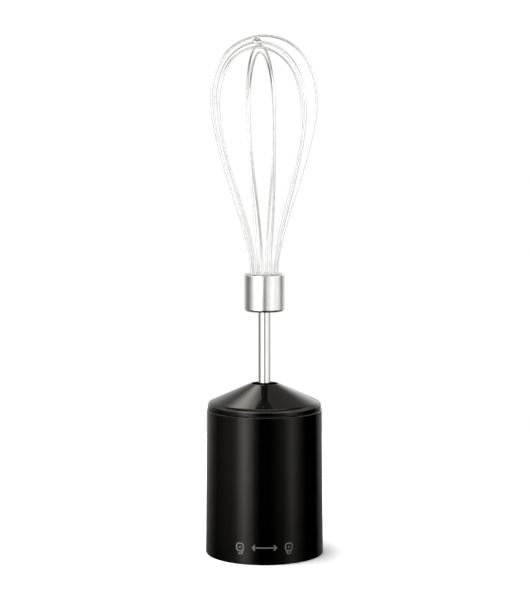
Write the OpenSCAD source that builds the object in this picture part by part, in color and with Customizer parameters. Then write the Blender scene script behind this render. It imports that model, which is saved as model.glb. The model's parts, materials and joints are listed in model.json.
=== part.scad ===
// Whisk attachment for a hand blender: a coupling unit with a planetary reduction gear,
// and a balloon whisk that plugs into it.
// Origin at the centre of the bottom rim, +Z up along the axis, lock marks towards -Y.

/* [Outer shell] */
// Diameter at the bottom rim
body_d = 58; // [56:0.5:62]
// How far the top edge stands in from the bottom rim, each side
body_draft = 0.75; // [0.25:0.25:1.5]
// Height of the seam above the bottom rim
body_h = 71.4; // [68:0.2:80]
// Wall at the seam
shell_wall = 1.9; // [1.6:0.1:2.2]
// Radius of the shell's outer edges
shell_edge = 0.5; // [0.2:0.1:0.8]
// Height of the ledge that stops the gearbox
ledge_h = 2; // [1.5:0.5:4]
// How far the ledge stands in from the wall
ledge_w = 1.75; // [1:0.25:2.5]

/* [Cone cap] */
// How far the cap's band stands in from the shell's top edge
cap_step = 0.45; // [0.2:0.05:0.8]
// Slope of the cone from the horizontal
cone_slope = 24; // [22:0.5:28]
// Radius that rounds the shoulder
shoulder_r = 2.25; // [1:0.25:4]
// Height of the cap's upright band below the shoulder
band_h = 1.5; // [0.6:0.05:3]
// Radius that rounds the cap's lower edge
cap_edge = 0.3; // [0.1:0.05:0.5]
// Height of the shadow gap between shell and cap
seam_gap = 0.35; // [0.2:0.05:0.6]
// Wall of the cap
cap_wall = 2; // [1.6:0.1:2.4]
// Radius of the opening at the tip of the cone
mouth_r = 6.4; // [6:0.1:8]
// Radius that rounds the lip of the opening
lip_r = 0.5; // [0.3:0.1:0.8]
// How far the seal lies below the lip
seal_depth = 2.6; // [1.5:0.1:4]
// Height of the seal
seal_h = 3.6; // [3:0.2:5]
// Height of the cap's spigot inside the shell
spigot_h = 6; // [5:0.5:8]

/* [Coupling socket] */
// Wall of the sleeve round the socket that takes the motor handle's neck
sleeve_wall = 2.25; // [2:0.25:4]
// Depth of the socket
socket_depth = 14; // [12:0.5:16]
// How far the sleeve lies inside the bottom rim
sleeve_recess = 1; // [0.5:0.25:2]
// Step from the socket to the narrower throat behind it
throat_step = 1.6; // [1:0.1:2.5]
// Length of the throat
throat_h = 12; // [11:0.5:14]
// Number of bayonet grooves
groove_count = 3; // [2:1:4]
// Depth of a groove in the socket's wall
groove_depth = 1.2; // [0.8:0.1:1.4]
// Angle that the entry slot of a groove takes
groove_slot_angle = 8; // [6:1:9]
// Angle through which the handle is twisted to lock it
lock_turn = 48; // [20:1:60]
// Width of the locking run along the axis
groove_run_h = 3.2; // [2:0.2:4]
// Height of the locking run's lower side above the sleeve's end
groove_run_z = 4; // [3:0.5:6]

/* [Gears] */
// Wall of the ring gear outside the roots of its teeth
ring_wall = 5.45; // [5:0.05:6]
// Teeth on the sun gear
sun_teeth = 12; // [12:3:15]
// Teeth on a planet gear
planet_teeth = 18; // [15:3:18]
// Play between meshing flanks
backlash = 0.12; // [0.1:0.02:0.16]
// Width of the planets' teeth
face_w = 6; // [5:0.5:8]
// Radius of the input shaft
input_r = 2.5; // [2:0.1:2.8]
// Radius of a planet pin
pin_r = 1.5; // [1.2:0.1:1.8]

/* [Gearbox] */
// Thickness of the gearbox floor
floor_t = 2.5; // [2:0.25:4]
// Wall of the gearbox base
case_wall = 1.8; // [1.4:0.1:2]
// Thickness of the lid
lid_t = 3; // [2.5:0.25:4]
// Height of the output boss above the lid
boss_h = 15; // [12:0.5:17]
// Radius of the carrier's hub, which runs in the output bush
carrier_hub_r = 7; // [6.5:0.1:7.5]
// Thickness of the carrier's disc
carrier_t = 2.8; // [2.4:0.1:4]
// Thickness of the plate under the planets
plate_t = 1.2; // [1:0.1:2]
// Wall of the bushes
bush_wall = 1.6; // [1.2:0.1:2]
// Radius of the screws' shanks
screw_r = 1.25; // [1:0.05:1.3]

/* [Whisk shaft] */
// Diameter of the shaft
shaft_d = 6; // [5.5:0.1:6.4]
// Depth of the shaft in the carrier's socket
socket_fit_h = 19.5; // [16:0.5:21]
// Width across the drive flats
flat_w = 4.8; // [4.4:0.1:5]
// Length of the drive flats
flat_h = 8; // [6:0.5:10]
// Free length of the shaft between the cone's lip and the hub
shaft_free = 35.6; // [30:0.1:50]

/* [Hub] */
// Diameter of the hub
hub_d = 19.8; // [18.6:0.1:22]
// Height of the hub
hub_h = 18.6; // [16:0.1:24]
// Wall of the hub shell
hub_wall = 0.8; // [0.6:0.1:1]
// Radius that rounds the hub's top edge
hub_edge = 1.1; // [0.8:0.1:1.6]
// Radius that rounds the hub's rolled foot
hub_foot_r = 1.3; // [0.9:0.1:1.5]
// How far the rolled foot reaches in under the hub's disc
hub_foot_w = 2.2; // [1.8:0.1:3]
// Width of the chamfer round each wire's hole
hole_chamfer = 0.35; // [0.2:0.05:0.5]
// Thickness of the disc under the hub
hub_base_t = 3; // [2:0.25:4]
// Radius of the circle that the wires stand on
wire_circle_r = 6.2; // [5.6:0.1:6.6]
// Depth of the wire ends in the hub
wire_depth = 12; // [8:0.5:13]

/* [Wire cage] */
// Diameter of the wire
wire_d = 1.2; // [1:0.1:1.3]
// Height of the outer loop above the hub
cage_h = 114.9; // [100:0.1:130]
// Angle of the bow over the top of a loop, each side
bow_angle = 65; // [60:1:72]
// Radius of the shoulder between the bow and the widest point
side_r = 36.9; // [32:0.1:42]
// Reach of the flank below the widest point before it turns in
flank_top = 26.8; // [20:0.1:32]
// Reach of the flank above the hub before it turns out
flank_foot = 21.5; // [15:0.1:28]
// Height over which the loops swing from their holes to their own planes
swing_h = 66.8; // [50:0.1:80]

// Radius of the bow over the top of each loop, from the outer loop inwards
bow_r = [24.6, 25.2, 23, 22.6, 26.5]; // [22:0.1:28]
// Angle of each loop's plane from the X axis
loop_angle = [8, 146.5, 106, 32.5, 77.5]; // [0:0.5:180]
// How far the top of each loop leans along the X axis
loop_lean = [0, -3.5, -2.8, -2.5, -1.7]; // [-5:0.1:5]
// How far the innermost loop hangs clear of the loop above it
inner_drop = 1.2; // [0:0.1:3]

/* [Tip bead] */
// Diameter of the bead
bead_d = 5; // [4:0.1:5.4]
// Height of the bead's dome above the middle of its wire
bead_rise = 2; // [1.6:0.1:2.4]
// How far the bead reaches below the middle of its wire
bead_skirt = 0.35; // [0.2:0.05:0.5]
// Height from the bead's top to the underside of the outer loop at its highest point
bead_gap = 0.4; // [0.35:0.05:0.8]

/* [Hidden] */
$fn = 96;

// Clearances: between seated pieces, on a running shaft, and between faces that rub.
seat = 0.1;
running = 0.05;
press = 0.02;
rub = 0.05;
// How far a cutting body passes the face that it cuts.
over = 1;

// Radii of the shell, from its bottom rim to the seam.
body_r = body_d / 2;
body_top_r = body_r - body_draft;
shell_in_r = body_top_r - shell_wall;
sleeve_r = shell_in_r - seat;
socket_r = sleeve_r - sleeve_wall;

// Heights, from the mouth of the socket upwards.
sleeve_z = sleeve_recess;
throat_z = sleeve_z + socket_depth;
case_z = throat_z + throat_h;
floor_z = case_z + floor_t;
in_flange_t = 0.5;
plate_z = floor_z + in_flange_t + rub;
plate_gap = 0.3;
planet_z = plate_z + plate_t + plate_gap;
carrier_z = planet_z + face_w + plate_gap;
carrier_top = carrier_z + carrier_t;
washer_t = 0.3;
lid_z = carrier_top + washer_t + 2 * rub;
lid_top = lid_z + lid_t;
boss_top = lid_top + boss_h;
flange_t = 1;
flange_top = boss_top + flange_t;
clip_t = 0.8;
out_washer_t = 0.6;
out_clip_z = flange_top + out_washer_t + 2 * rub;
hub_lip = 2;
carrier_hub_top = out_clip_z + clip_t + hub_lip;

// Angle at which the first bayonet groove has its entry slot.
first_groove = 60;

// The snap joints: the sleeve's lugs and the cap's bead stand on the floors of their pockets
// in the shell.
lug_count = 3;
lug_rise = 0.5;
lug_h = 3;
lug_angle = 14;
lug_z = throat_z + 4;
snap_rise = 0.35;
snap_h = 1.2;

// The cone: its surface line runs at cone_slope from the shoulder's corner to the lip.
cap_r = body_top_r - cap_step;
cap_z = body_h + seam_gap;
shoulder_run = shoulder_r * tan((90 - cone_slope) / 2);
corner_z = cap_z + band_h + shoulder_run;
function cone_line(r) = corner_z + (cap_r - r) * tan(cone_slope);
lip_corner_r = mouth_r + lip_r;
lip_z = cone_line(lip_corner_r);
seal_top = lip_z - seal_depth;
seal_z = seal_top - seal_h;
shelf_t = 1;
neck_wall = 1.6;
spigot_wall = 1.8;
snap_z = body_h - spigot_h + 1.4;

// Gears.
pressure_angle = 20;
planet_count = 3;
first_planet = 90;
ring_teeth = sun_teeth + 2 * planet_teeth;
addendum_share = 0.95;
dedendum_share = 1.2;
ring_out_r = shell_in_r - seat - case_wall - seat;
ring_root_r = ring_out_r - ring_wall;
gear_module = ring_root_r / (ring_teeth / 2 + dedendum_share);
addendum = addendum_share * gear_module;
dedendum = dedendum_share * gear_module;
orbit_r = gear_module * (sun_teeth + planet_teeth) / 2;
ring_wall_mid = ring_out_r - ring_wall / 2;
flank_steps = 3;
disc_r = gear_module * (ring_teeth / 2 - 1) - 0.9;

// Input side.
boss_in_h = 3;
boss_in_r = 7;
in_bush_r = input_r + running + bush_wall;
in_shoulder_r = input_r + 0.9;
in_clip_t = 0.6;
in_clip_z = case_z - boss_in_h - in_clip_t - 0.2;
in_groove = 0.4;
dog_r = 7.5;
dog_z = throat_z + 0.5;
dog_top = in_clip_z - 0.2;
dog_socket_h = 3.1;
dog_bar_r = 5;
dog_bar_w = 2.6;
dog_core_r = 3.2;
in_flat_w = 3.8;
shaft_end = dog_z + dog_socket_h + 0.4;
rib_t = 1.2;
rib_h = 2.5;
rib_count = 6;
first_rib = 30;

// Screws.
screw_count = 3;
first_screw = 30;
screw_head_r = 2.2;
screw_head_h = 1.8;
screw_length = 16;
screw_slot_w = 0.6;

// Output side.
out_bush_r = carrier_hub_r + running + bush_wall;
boss_r = out_bush_r + 2.4;
gusset_h = 8;
clip_groove = 0.6;
clip_width = 2.2;
clip_gap = 4;
snap_wire_r = 0.35;
snap_ring_z = carrier_hub_top - 7;
snap_groove = 0.9;

// Whisk shaft, hub and wires.
shaft_r = shaft_d / 2;
shaft_z = carrier_hub_top - socket_fit_h;
hub_z = lip_z + shaft_free;
hub_top = hub_z + hub_h;
hub_r = hub_d / 2;
core_r = hub_r - hub_wall - press;
base_z = hub_z + hub_wall + rub;
base_top = base_z + hub_base_t;
roof_t = 1;
shaft_cover = 7.3;
shaft_top = hub_top - shaft_cover;
chamfer = 0.6;
shaft_groove = 0.3;
wire_r = wire_d / 2;
hole_r = wire_r + press;
loop_count = 5;
hole_step = 180 / loop_count;
first_hole = 9;
wire_sides = 10;
bow_steps = 10;
side_steps = 4;
wire_flank_steps = 14;
lean_power = 1.4;

// The outer loop bows over the bead, the next one carries it, and the rest nest below that one
// a wire apart.
nest_pitch = wire_d + 0.05;
outer_apex = hub_top + cage_h;
bead_apex = outer_apex - wire_r - bead_gap - bead_rise;
bead_loop = 1;

// ---- Helpers ----

// A tube standing on z.
module tube(outer, inner, z, h) {
    translate([0, 0, z])
        difference() {
            cylinder(r = outer, h = h);
            translate([0, 0, -over]) cylinder(r = inner, h = h + 2 * over);
        }
}

// A turned solid from its half profile.
module turned(points) {
    rotate_extrude() polygon(points);
}

// Copies of the children round the axis.
module around(count, first = 0) {
    for (i = [0 : count - 1])
        rotate([0, 0, first + i * 360 / count]) children();
}

// Points on an arc, from angle a to angle b.
function arc(centre, r, a, b, steps) =
    [for (i = [0 : steps]) centre + r * [cos(a + (b - a) * i / steps), sin(a + (b - a) * i / steps)]];

// The part of a ring between two angles.
module ring_sector(outer, inner, angle, h) {
    rotate_extrude(angle = angle) translate([inner, 0]) square([outer - inner, h]);
}

// A bar across the axis, for flats and slots.
module bar(length, width, h) {
    translate([-length / 2, -width / 2, 0]) cube([length, width, h]);
}

// ---- Gear teeth ----

// Involute of an angle, in degrees.
function involute(a) = tan(a) * 180 / PI - a;
// Half the angle that a tooth takes at radius r; thin is cut off each flank on the pitch circle.
function tooth_half(teeth, r, thin) =
    let (pitch_r = gear_module * teeth / 2,
         base_r = pitch_r * cos(pressure_angle),
         a = r > base_r ? acos(base_r / r) : 0)
    90 / teeth - thin / pitch_r * 180 / PI + involute(pressure_angle) - involute(a);
function polar(r, a) = [r * cos(a), r * sin(a)];
// One side of a tooth as [radius, half angle]. Below the base circle it runs straight inwards.
function tooth_side(teeth, root_r, tip_r, thin) =
    let (base_r = gear_module * teeth / 2 * cos(pressure_angle),
         low_r = max(base_r, root_r),
         flank = [for (k = [0 : flank_steps]) let (r = low_r + (tip_r - low_r) * k / flank_steps)
             [r, tooth_half(teeth, r, thin)]])
    low_r > root_r ? concat([[root_r, flank[0][1]]], flank) : flank;
// Outline of a gear with its first tooth on +X, from root radius to tip radius.
function gear_outline(teeth, root_r, tip_r, thin) =
    let (side = tooth_side(teeth, root_r, tip_r, thin), last = len(side) - 1)
    [for (i = [0 : teeth - 1], k = [0 : 2 * last + 1])
        let (middle = i * 360 / teeth)
        k <= last ? polar(side[k][0], middle - side[k][1])
                  : polar(side[2 * last + 1 - k][0], middle + side[2 * last + 1 - k][1])];

module gear(teeth, h) {
    pitch_r = gear_module * teeth / 2;
    linear_extrude(h)
        polygon(gear_outline(teeth, pitch_r - dedendum, pitch_r + addendum, backlash / 4));
}

// The shape that cuts the ring gear: a gear with its spaces filled out by the play.
module ring_cutter(h) {
    pitch_r = gear_module * ring_teeth / 2;
    linear_extrude(h)
        polygon(gear_outline(ring_teeth, pitch_r - addendum, pitch_r + dedendum, -backlash / 4));
}

// ---- Coupling unit ----

module outer_shell() {
    color("#141414")
    difference() {
        union() {
            turned(concat(
                [[shell_in_r, 0], [body_r - shell_edge, 0]],
                arc([body_r - shell_edge, shell_edge], shell_edge, -90, 0, 4),
                arc([body_top_r - shell_edge, body_h - shell_edge], shell_edge, 0, 90, 4),
                [[shell_in_r, body_h]]));
            tube(shell_in_r + over / 2, shell_in_r - ledge_w, lid_top, ledge_h);
        }
        around(lug_count) rotate([0, 0, -lug_angle / 2 - 1]) translate([0, 0, lug_z])
            ring_sector(shell_in_r + lug_rise, shell_in_r - over, lug_angle + 2, lug_h + seat);
        tube(shell_in_r + snap_rise, shell_in_r - over, snap_z, snap_h + seat);
    }
}

module bayonet_groove() {
    rotate([0, 0, -groove_slot_angle / 2])
        translate([0, 0, sleeve_z - over])
            ring_sector(socket_r + groove_depth, socket_r - over, groove_slot_angle,
                groove_run_z + groove_run_h + over);
    rotate([0, 0, -groove_slot_angle / 2 - lock_turn])
        translate([0, 0, sleeve_z + groove_run_z])
            ring_sector(socket_r + groove_depth, socket_r - over, groove_slot_angle + lock_turn,
                groove_run_h);
}

module coupling_sleeve() {
    lead = 0.8;
    color("#1c1c1e")
    union() {
        difference() {
            turned([
                [socket_r + lead, sleeve_z], [sleeve_r, sleeve_z], [sleeve_r, case_z],
                [socket_r - throat_step, case_z], [socket_r - throat_step, throat_z],
                [socket_r, throat_z], [socket_r, sleeve_z + lead]]);
            around(groove_count, first_groove) bayonet_groove();
        }
        around(lug_count) rotate([0, 0, -lug_angle / 2]) translate([0, 0, lug_z])
            ring_sector(sleeve_r + lug_rise, sleeve_r - over / 2, lug_angle, lug_h);
    }
}

module cone_cap() {
    spigot_r = shell_in_r - seat;
    spigot_in_r = spigot_r - spigot_wall;
    neck_r = mouth_r + neck_wall;
    shelf_z = seal_z - shelf_t;
    function under_line(r) = cone_line(r) - cap_wall / cos(cone_slope);
    cone_dir = 90 - cone_slope;
    color("#161617")
    union() {
        turned(concat(
            [[spigot_r, cap_z]],
            arc([cap_r - cap_edge, cap_z + cap_edge], cap_edge, -90, 0, 4),
            arc([cap_r - shoulder_r, cap_z + band_h], shoulder_r, 0, cone_dir, 8),
            arc([mouth_r + lip_r, lip_z - lip_r], lip_r, cone_dir, 180, 6),
            [[mouth_r, seal_z], [mouth_r - 2, seal_z], [mouth_r - 2, shelf_z], [neck_r, shelf_z],
             [neck_r, under_line(neck_r)], [spigot_in_r, under_line(spigot_in_r)],
             [spigot_in_r, body_h - spigot_h], [spigot_r, body_h - spigot_h]]));
        tube(spigot_r + snap_rise, spigot_r - over / 2, snap_z, snap_h);
    }
}

module shaft_seal() {
    seal_r = mouth_r - press;
    lip_in_r = shaft_r + running;
    sole = 1;
    rim = 1.4;
    color("#101010")
    turned([
        [lip_in_r, seal_top - rim], [lip_in_r, seal_top - 0.3], [lip_in_r + 0.5, seal_top],
        [seal_r, seal_top], [seal_r, seal_z], [seal_r - rim, seal_z], [seal_r - rim, seal_top - rim - sole],
        [lip_in_r + 0.8, seal_top - rim - sole]]);
}

module gearbox_base() {
    case_r = shell_in_r - seat;
    step_r = ring_root_r + 0.6;
    ring_z = plate_z + plate_t;
    color("#8c8f94")
    difference() {
        union() {
            translate([0, 0, case_z]) cylinder(r = case_r, h = lid_z - case_z);
            translate([0, 0, case_z - boss_in_h]) cylinder(r = boss_in_r, h = boss_in_h + floor_t);
            around(rib_count, first_rib) translate([0, -rib_t / 2, case_z - rib_h])
                cube([socket_r - throat_step - seat, rib_t, rib_h + floor_t / 2]);
        }
        translate([0, 0, ring_z]) cylinder(r = ring_out_r + seat, h = lid_z);
        translate([0, 0, floor_z]) cylinder(r = step_r, h = lid_z);
        translate([0, 0, case_z - boss_in_h - over])
            cylinder(r = in_bush_r + press, h = boss_in_h + floor_t + 2 * over);
        around(screw_count, first_screw)
            translate([ring_wall_mid, 0, lid_top - screw_length - 3 * seat])
                cylinder(r = screw_r + press, h = screw_length);
    }
}

module ring_gear() {
    ring_z = plate_z + plate_t;
    h = lid_z - ring_z;
    color("#e8e4d8")
    difference() {
        translate([0, 0, ring_z]) cylinder(r = ring_out_r, h = h);
        translate([0, 0, ring_z - over]) rotate([0, 0, 180 / ring_teeth + ring_phase()])
            ring_cutter(h + 2 * over);
        around(screw_count, first_screw) translate([ring_wall_mid, 0, ring_z - over])
            cylinder(r = screw_r + seat, h = h + 2 * over);
    }
}

// Angle of the ring gear's first tooth, so that it meshes with the first planet.
function ring_phase() =
    let (turns = first_planet * (sun_teeth + ring_teeth) / 360 + planet_teeth / 2)
    (turns - floor(turns)) * 360 / ring_teeth;
// Angle of a planet's first tooth, for the planet that stands at angle a.
function planet_phase(a) = a + 180 + (a * sun_teeth / 360 + 0.5) * 360 / planet_teeth;

module gearbox_lid() {
    case_r = shell_in_r - seat;
    color("#8c8f94")
    difference() {
        union() {
            translate([0, 0, lid_z]) cylinder(r = case_r, h = lid_t);
            translate([0, 0, lid_z]) cylinder(r = boss_r, h = boss_top - lid_z);
            around(rib_count) translate([0, rib_t / 2, lid_z + lid_t / 2]) rotate([90, 0, 0])
                linear_extrude(rib_t)
                    polygon([[boss_r - over, 0], [ring_wall_mid - 3, 0], [ring_wall_mid - 3, lid_t / 2],
                             [boss_r, gusset_h + lid_t / 2], [boss_r - over, gusset_h + lid_t / 2]]);
        }
        translate([0, 0, lid_z - over]) cylinder(r = out_bush_r + press, h = boss_top);
        around(screw_count, first_screw) translate([ring_wall_mid, 0, lid_z - over])
            cylinder(r = screw_r + seat, h = lid_t + 2 * over);
    }
}

module gearbox_screws() {
    color("#b8babd")
    around(screw_count, first_screw) translate([ring_wall_mid, 0, lid_top])
        difference() {
            union() {
                cylinder(r = screw_head_r, h = screw_head_h);
                translate([0, 0, -screw_length]) cylinder(r = screw_r, h = screw_length + over / 2);
            }
            for (a = [0, 90]) rotate([0, 0, a]) translate([0, 0, screw_head_h / 2])
                bar(2 * screw_head_r * 0.7, screw_slot_w, screw_head_h);
        }
}

module input_bush() {
    bottom = case_z - boss_in_h;
    color("#b08d57")
    difference() {
        union() {
            translate([0, 0, bottom]) cylinder(r = in_bush_r, h = floor_z - bottom);
            translate([0, 0, floor_z]) cylinder(r = in_bush_r + 1.2, h = in_flange_t);
        }
        translate([0, 0, bottom - over]) cylinder(r = input_r + running, h = floor_z);
    }
}

module output_bush() {
    color("#b08d57")
    difference() {
        union() {
            translate([0, 0, lid_z]) cylinder(r = out_bush_r, h = boss_top - lid_z);
            translate([0, 0, boss_top]) cylinder(r = out_bush_r + 1.4, h = flange_t);
        }
        translate([0, 0, lid_z - over]) cylinder(r = carrier_hub_r + running, h = flange_top);
    }
}

// ---- Input ----

module sun_gear() {
    shoulder_z = floor_z + in_flange_t + rub;
    color("#c9ccd0")
    difference() {
        union() {
            translate([0, 0, planet_z]) gear(sun_teeth, face_w);
            translate([0, 0, shoulder_z]) cylinder(r = in_shoulder_r, h = planet_z - shoulder_z + over / 2);
            translate([0, 0, shaft_end]) cylinder(r = input_r, h = shoulder_z - shaft_end + over / 2);
        }
        tube(input_r + over, input_r - in_groove, in_clip_z, in_clip_t + rub);
        for (side = [-1, 1]) translate([0, side * (in_flat_w / 2 + input_r), shaft_end - over])
            bar(4 * input_r, 2 * input_r, dog_top - shaft_end + over);
    }
}

module drive_coupling() {
    bevel = 0.8;
    color("#2a2a2c")
    difference() {
        turned([[0, dog_z], [dog_r - bevel, dog_z], [dog_r, dog_z + bevel], [dog_r, dog_top], [0, dog_top]]);
        // The star that the motor's spindle enters.
        translate([0, 0, dog_z - over]) {
            cylinder(r = dog_core_r, h = dog_socket_h + over);
            for (a = [0, 60, 120]) rotate([0, 0, a]) bar(2 * dog_bar_r, dog_bar_w, dog_socket_h + over);
        }
        // The bore with two flats that sits on the input shaft.
        translate([0, 0, shaft_end - over])
            intersection() {
                cylinder(r = input_r + press, h = dog_top);
                bar(4 * input_r, in_flat_w + 2 * press, dog_top);
            }
    }
}

// An open ring in a groove, with its gap towards +Y.
module circlip(inner, width, z, h, gap) {
    color("#9a9da1")
    difference() {
        tube(inner + width, inner, z, h);
        translate([-gap / 2, 0, z - over]) cube([gap, 2 * (inner + width), h + 2 * over]);
    }
}

module input_circlip() {
    circlip(input_r - in_groove + press, 1.8, in_clip_z, in_clip_t, 2.4);
}

// ---- Carrier ----

module planet_carrier() {
    lead = 0.7;
    bore_r = shaft_r + running;
    floor_at = shaft_z - 0.1;
    flats_top = shaft_z + flat_h - 2 * seat;
    color("#3c3e42")
    difference() {
        turned([[0, carrier_z], [disc_r, carrier_z], [disc_r, carrier_top], [carrier_hub_r, carrier_top],
                [carrier_hub_r, carrier_hub_top - chamfer], [carrier_hub_r - chamfer, carrier_hub_top],
                [0, carrier_hub_top]]);
        around(planet_count, first_planet) translate([orbit_r, 0, carrier_z - over])
            cylinder(r = pin_r + press, h = carrier_t + 2 * over);
        translate([0, 0, flats_top]) cylinder(r = bore_r, h = carrier_hub_top);
        translate([0, 0, floor_at])
            intersection() {
                cylinder(r = bore_r, h = carrier_hub_top - floor_at);
                bar(4 * shaft_r, flat_w + 2 * running, carrier_hub_top);
            }
        translate([0, 0, carrier_hub_top - lead])
            cylinder(r1 = bore_r, r2 = bore_r + lead + over, h = lead + over);
        tube(carrier_hub_r + over, carrier_hub_r - clip_groove, out_clip_z - rub, clip_t + rub);
        translate([0, 0, snap_ring_z - snap_wire_r - rub])
            cylinder(r = bore_r + snap_groove, h = 2 * (snap_wire_r + rub));
    }
}

module planet_pins() {
    color("#c9ccd0")
    around(planet_count, first_planet) translate([orbit_r, 0, plate_z])
        cylinder(r = pin_r, h = carrier_top - plate_z);
}

module carrier_plate() {
    inner = gear_module * sun_teeth / 2 + addendum + 0.75;
    color("#c9ccd0")
    difference() {
        tube(disc_r, inner, plate_z, plate_t);
        around(planet_count, first_planet) translate([orbit_r, 0, plate_z - over])
            cylinder(r = pin_r + press, h = plate_t + 2 * over);
    }
}

module thrust_washer() {
    color("#e6e3da") tube(carrier_hub_r + 3, carrier_hub_r + press, carrier_top, washer_t);
}

module output_washer() {
    color("#c9ccd0")
    tube(carrier_hub_r + 2.6, carrier_hub_r + press, out_clip_z - out_washer_t, out_washer_t);
}

module output_circlip() {
    circlip(carrier_hub_r - clip_groove + press, clip_width, out_clip_z, clip_t, clip_gap);
}

module snap_ring() {
    ring_r = shaft_r + 2 * running + snap_wire_r;
    color("#c9ccd0")
    translate([0, 0, snap_ring_z]) rotate([0, 0, 110])
        rotate_extrude(angle = 320) translate([ring_r, 0]) circle(r = snap_wire_r, $fn = 24);
}

module planet_gear(i) {
    a = first_planet + i * 360 / planet_count;
    color("#e8e4d8")
    translate([orbit_r * cos(a), orbit_r * sin(a), planet_z])
        difference() {
            rotate([0, 0, planet_phase(a)]) gear(planet_teeth, face_w);
            translate([0, 0, -over]) cylinder(r = pin_r + running, h = face_w + 2 * over);
        }
}

// ---- Whisk ----

module whisk_shaft() {
    neck = shaft_r - shaft_groove;
    groove_h = snap_wire_r + rub;
    color("#d2d4d6")
    difference() {
        turned([[0, shaft_z], [shaft_r - chamfer, shaft_z], [shaft_r, shaft_z + chamfer],
                [shaft_r, snap_ring_z - groove_h], [neck, snap_ring_z - groove_h],
                [neck, snap_ring_z + groove_h], [shaft_r, snap_ring_z + groove_h],
                [shaft_r, shaft_top - chamfer], [shaft_r - chamfer, shaft_top], [0, shaft_top]]);
        for (side = [-1, 1]) translate([0, side * (flat_w / 2 + shaft_r), shaft_z - over])
            bar(4 * shaft_r, 2 * shaft_r, flat_h + over);
    }
}

module hub_base() {
    color("#b4b6b9") tube(core_r, shaft_r + press, base_z, hub_base_t);
}

module hub_shell() {
    inner = hub_r - hub_wall;
    color("#c4c6c8")
    difference() {
        turned(concat(
            [[hub_r - hub_foot_w, hub_z]],
            arc([hub_r - hub_foot_r, hub_z + hub_foot_r], hub_foot_r, -90, 0, 6),
            arc([hub_r - hub_edge, hub_top - hub_edge], hub_edge, 0, 90, 6),
            [[0, hub_top], [0, hub_top - roof_t], [inner, hub_top - roof_t],
             [inner, hub_z + hub_wall], [hub_r - hub_foot_w, hub_z + hub_wall]]));
        wire_holes(hub_top - roof_t - over, roof_t + 2 * over);
        around(2 * loop_count, first_hole) translate([wire_circle_r, 0, hub_top - hole_chamfer])
            cylinder(r1 = hole_r, r2 = hole_r + 2 * hole_chamfer, h = 2 * hole_chamfer, $fn = 32);
    }
}

// The ten holes, in pairs across the hub.
module wire_holes(z, h) {
    around(2 * loop_count, first_hole) translate([wire_circle_r, 0, z]) cylinder(r = hole_r, h = h, $fn = 32);
}

module wire_holder() {
    color("#2b2b2d")
    difference() {
        translate([0, 0, base_top]) cylinder(r = core_r, h = hub_top - roof_t - base_top);
        translate([0, 0, base_top - over]) cylinder(r = shaft_r + press, h = shaft_top - base_top + over);
        wire_holes(hub_top - wire_depth, wire_depth);
    }
}

// Apex height of a loop's centreline.
function apex(i) =
    i < bead_loop ? outer_apex
    : bead_apex - (i - bead_loop) * nest_pitch - (i == loop_count - 1 ? inner_drop : 0);

// Half of a loop in its own plane, as [distance out, height], from the apex to the wire's end.
function half_loop(i) =
    let (r = bow_r[i], top = apex(i),
         bow_end = [r * sin(bow_angle), top - r * (1 - cos(bow_angle))],
         wide = bow_end + side_r * [1 - sin(bow_angle), -cos(bow_angle)],
         foot = [wire_circle_r, hub_top])
    concat(
        [for (k = [0 : bow_steps - 1]) let (a = bow_angle * k / bow_steps)
            [r * sin(a), top - r * (1 - cos(a))]],
        [for (k = [0 : side_steps - 1]) let (a = bow_angle + (90 - bow_angle) * k / side_steps)
            bow_end + side_r * [sin(a) - sin(bow_angle), cos(a) - cos(bow_angle)]],
        [for (k = [0 : wire_flank_steps])
            bezier(wide, wide - [0, flank_top], foot + [0, flank_foot], foot, k / wire_flank_steps)],
        [[wire_circle_r, hub_top - wire_depth]]);

function bezier(a, b, c, d, t) =
    pow(1 - t, 3) * a + 3 * pow(1 - t, 2) * t * b + 3 * (1 - t) * t * t * c + pow(t, 3) * d;

// Angle of a loop's plane at height z: its pair of holes at the hub, its own angle higher up.
function swing(i, z) =
    let (t = min(1, max(0, (z - hub_top) / swing_h)), own = loop_angle[i], hole = hole_angle(own))
    hole + (own - hole) * t * t * (3 - 2 * t);
// The pair of holes that lies nearest to a loop's own plane.
function hole_angle(own) = first_hole + hole_step * round((own - first_hole) / hole_step);
// A point of the loop in space. The lean grows with the height.
function in_space(i, p) =
    let (a = swing(i, p[1]), t = max(0, (p[1] - hub_top) / (apex(i) - hub_top)))
    [p[0] * cos(a) + loop_lean[i] * pow(t, lean_power), p[0] * sin(a), p[1]];

function loop_path(i) =
    let (half = half_loop(i), last = len(half) - 1)
    [for (k = [-last : last]) in_space(i, [sign(k) * half[abs(k)][0], half[abs(k)][1]])];

function unit(v) = v / norm(v);

// A round wire swept along the points of a path that stays close to the plane with this normal.
module wire(path, normal) {
    n = len(path);
    rings = [for (k = [0 : n - 1])
        let (along = unit(path[min(k + 1, n - 1)] - path[max(k - 1, 0)]),
             side = unit(normal - (normal * along) * along),
             up = cross(along, side))
        for (j = [0 : wire_sides - 1]) let (a = 360 * j / wire_sides)
            path[k] + wire_r * (cos(a) * side + sin(a) * up)];
    walls = [for (k = [0 : n - 2], j = [0 : wire_sides - 1])
        let (a = k * wire_sides + j, b = k * wire_sides + (j + 1) % wire_sides)
        each [[a, a + wire_sides, b + wire_sides], [a, b + wire_sides, b]]];
    first_end = [for (j = [0 : wire_sides - 1]) j];
    last_end = [for (j = [wire_sides - 1 : -1 : 0]) (n - 1) * wire_sides + j];
    polyhedron(rings, concat(walls, [first_end, last_end]));
}

module wire_loop(i) {
    own = loop_angle[i];
    color("#d8dadc") wire(loop_path(i), [-sin(own), cos(own), 0]);
}

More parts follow.
